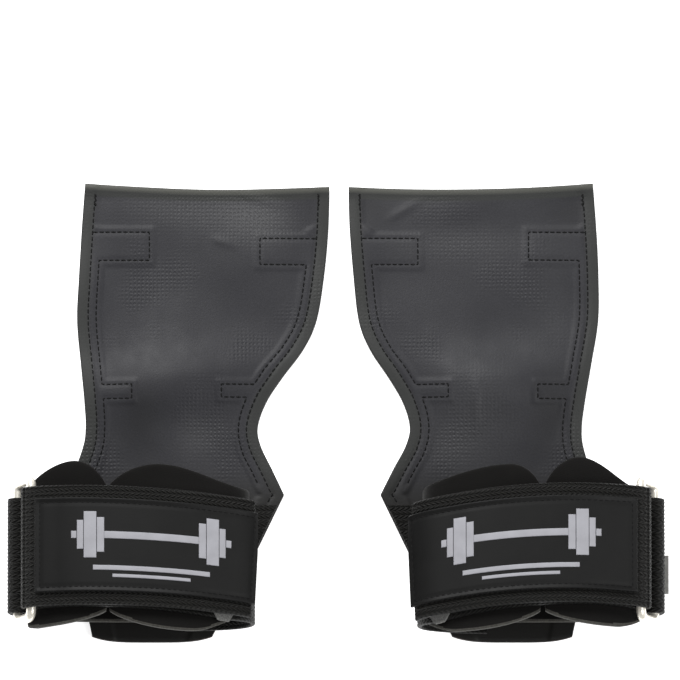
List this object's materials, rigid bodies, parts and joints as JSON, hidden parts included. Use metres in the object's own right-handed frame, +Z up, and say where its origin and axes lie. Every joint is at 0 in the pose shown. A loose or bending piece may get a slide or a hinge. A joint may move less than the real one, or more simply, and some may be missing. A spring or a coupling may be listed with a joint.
{
  "type": "lifting hand grips",
  "caption": "Pair of padded wrist cuffs, each closed by a webbing strap through a wire ring, with a flat stitched flap that covers the palm and wraps a bar.",
  "frame": {"origin": "middle of the pair on the surface it lies on, under the centre of the box round both grips", "axes": "+X across the pair towards the right-hand grip in plan, +Y from the wrist cuffs to the fingertips, +Z up from the table"},
  "size_m": [0.2722, 0.1916, 0.0566],
  "materials": {
    "flap_rubber": "charcoal rubber-coated fabric, embossed, soft sheen",
    "backing_rubber": "black rubber-coated fabric, matte",
    "reinforcement": "stiff woven reinforcement",
    "neoprene": "black neoprene with jersey faces, matte",
    "webbing": "black herringbone polypropylene webbing",
    "tape": "black hook-and-loop tape",
    "ring_metal": "polished nickel-plated wire",
    "label_rubber": "moulded soft rubber, satin",
    "label_print": "raised light grey mark",
    "tag_fabric": "grey woven care tag"
  },
  "bodies": {
    "left_cuff": {"left_flap_face_root": "flap_rubber", "left_flap_backing_root": "backing_rubber", "left_inner_strip_root": "reinforcement", "left_outer_strip_root": "reinforcement", "left_wrist_pad": "neoprene", "left_rear_webbing": "webbing", "left_ring_loop": "webbing", "left_strap_front": "webbing", "left_loop_tape": "tape"},
    "left_palm": {"left_flap_face_palm": "flap_rubber", "left_flap_backing_palm": "backing_rubber", "left_inner_strip_palm": "reinforcement", "left_outer_strip_palm": "reinforcement"},
    "left_finger": {"left_flap_face_finger": "flap_rubber", "left_flap_backing_finger": "backing_rubber", "left_inner_strip_finger": "reinforcement", "left_outer_strip_finger": "reinforcement"},
    "left_ring": {"left_ring": "ring_metal", "left_strap_fold": "webbing"},
    "left_tail": {"left_strap_tail": "webbing", "left_hook_tape": "tape", "left_label_patch": "label_rubber", "left_label_print": "label_print"},
    "right_cuff": {"right_flap_face_root": "flap_rubber", "right_flap_backing_root": "backing_rubber", "right_inner_strip_root": "reinforcement", "right_outer_strip_root": "reinforcement", "right_wrist_pad": "neoprene", "right_rear_webbing": "webbing", "right_ring_loop": "webbing", "right_strap_front": "webbing", "right_loop_tape": "tape"},
    "right_palm": {"right_flap_face_palm": "flap_rubber", "right_flap_backing_palm": "backing_rubber", "right_inner_strip_palm": "reinforcement", "right_outer_strip_palm": "reinforcement"},
    "right_finger": {"right_flap_face_finger": "flap_rubber", "right_flap_backing_finger": "backing_rubber", "right_inner_strip_finger": "reinforcement", "right_outer_strip_finger": "reinforcement"},
    "right_ring": {"right_ring": "ring_metal", "right_strap_fold": "webbing"},
    "right_tail": {"right_strap_tail": "webbing", "right_hook_tape": "tape", "right_label_patch": "label_rubber", "right_label_print": "label_print"},
    "right_tag": {"right_care_tag": "tag_fabric"}
  },
  "joints": [
    {"name": "left_wrist_fold", "type": "hinge", "parent": "left_cuff", "child": "left_palm", "pos_m": [-0.0821, -0.012, 0.00165], "axis": [1, 0, 0], "range_deg": [-60, 100], "stiffness_Nm_per_rad": 0.05},
    {"name": "left_finger_curl", "type": "hinge", "parent": "left_palm", "child": "left_finger", "pos_m": [-0.0821, 0.052, 0.00165], "axis": [1, 0, 0], "range_deg": [-100, 70], "stiffness_Nm_per_rad": 0.03},
    {"name": "left_ring_swing", "type": "hinge", "parent": "left_cuff", "child": "left_ring", "pos_m": [-0.13199, -0.062, 0.02686], "axis": [0, -1, 0], "range_deg": [0, 25]},
    {"name": "left_tail_peel", "type": "hinge", "parent": "left_ring", "child": "left_tail", "pos_m": [-0.12634, -0.062, 0.04183], "axis": [0, -1, 0], "range_deg": [0, 150]},
    {"name": "right_wrist_fold", "type": "hinge", "parent": "right_cuff", "child": "right_palm", "pos_m": [0.0801, -0.012, 0.00165], "axis": [1, 0, 0], "range_deg": [-60, 100], "stiffness_Nm_per_rad": 0.05},
    {"name": "right_finger_curl", "type": "hinge", "parent": "right_palm", "child": "right_finger", "pos_m": [0.0801, 0.052, 0.00165], "axis": [1, 0, 0], "range_deg": [-100, 70], "stiffness_Nm_per_rad": 0.03},
    {"name": "right_ring_swing", "type": "hinge", "parent": "right_cuff", "child": "right_ring", "pos_m": [0.12999, -0.062, 0.02686], "axis": [0, 1, 0], "range_deg": [0, 25]},
    {"name": "right_tail_peel", "type": "hinge", "parent": "right_ring", "child": "right_tail", "pos_m": [0.12434, -0.062, 0.04183], "axis": [0, 1, 0], "range_deg": [0, 150]},
    {"name": "right_tag_flex", "type": "hinge", "parent": "right_cuff", "child": "right_tag", "pos_m": [0.12025, -0.062, 0.00886], "axis": [0, 1, 0], "range_deg": [-5, 20], "stiffness_Nm_per_rad": 0.002},
    {"name": "pair_spacing", "type": "slide", "parent": "left_cuff", "child": "right_cuff", "axis": [1, 0, 0], "range_m": [0, 0.12]}
  ]
}
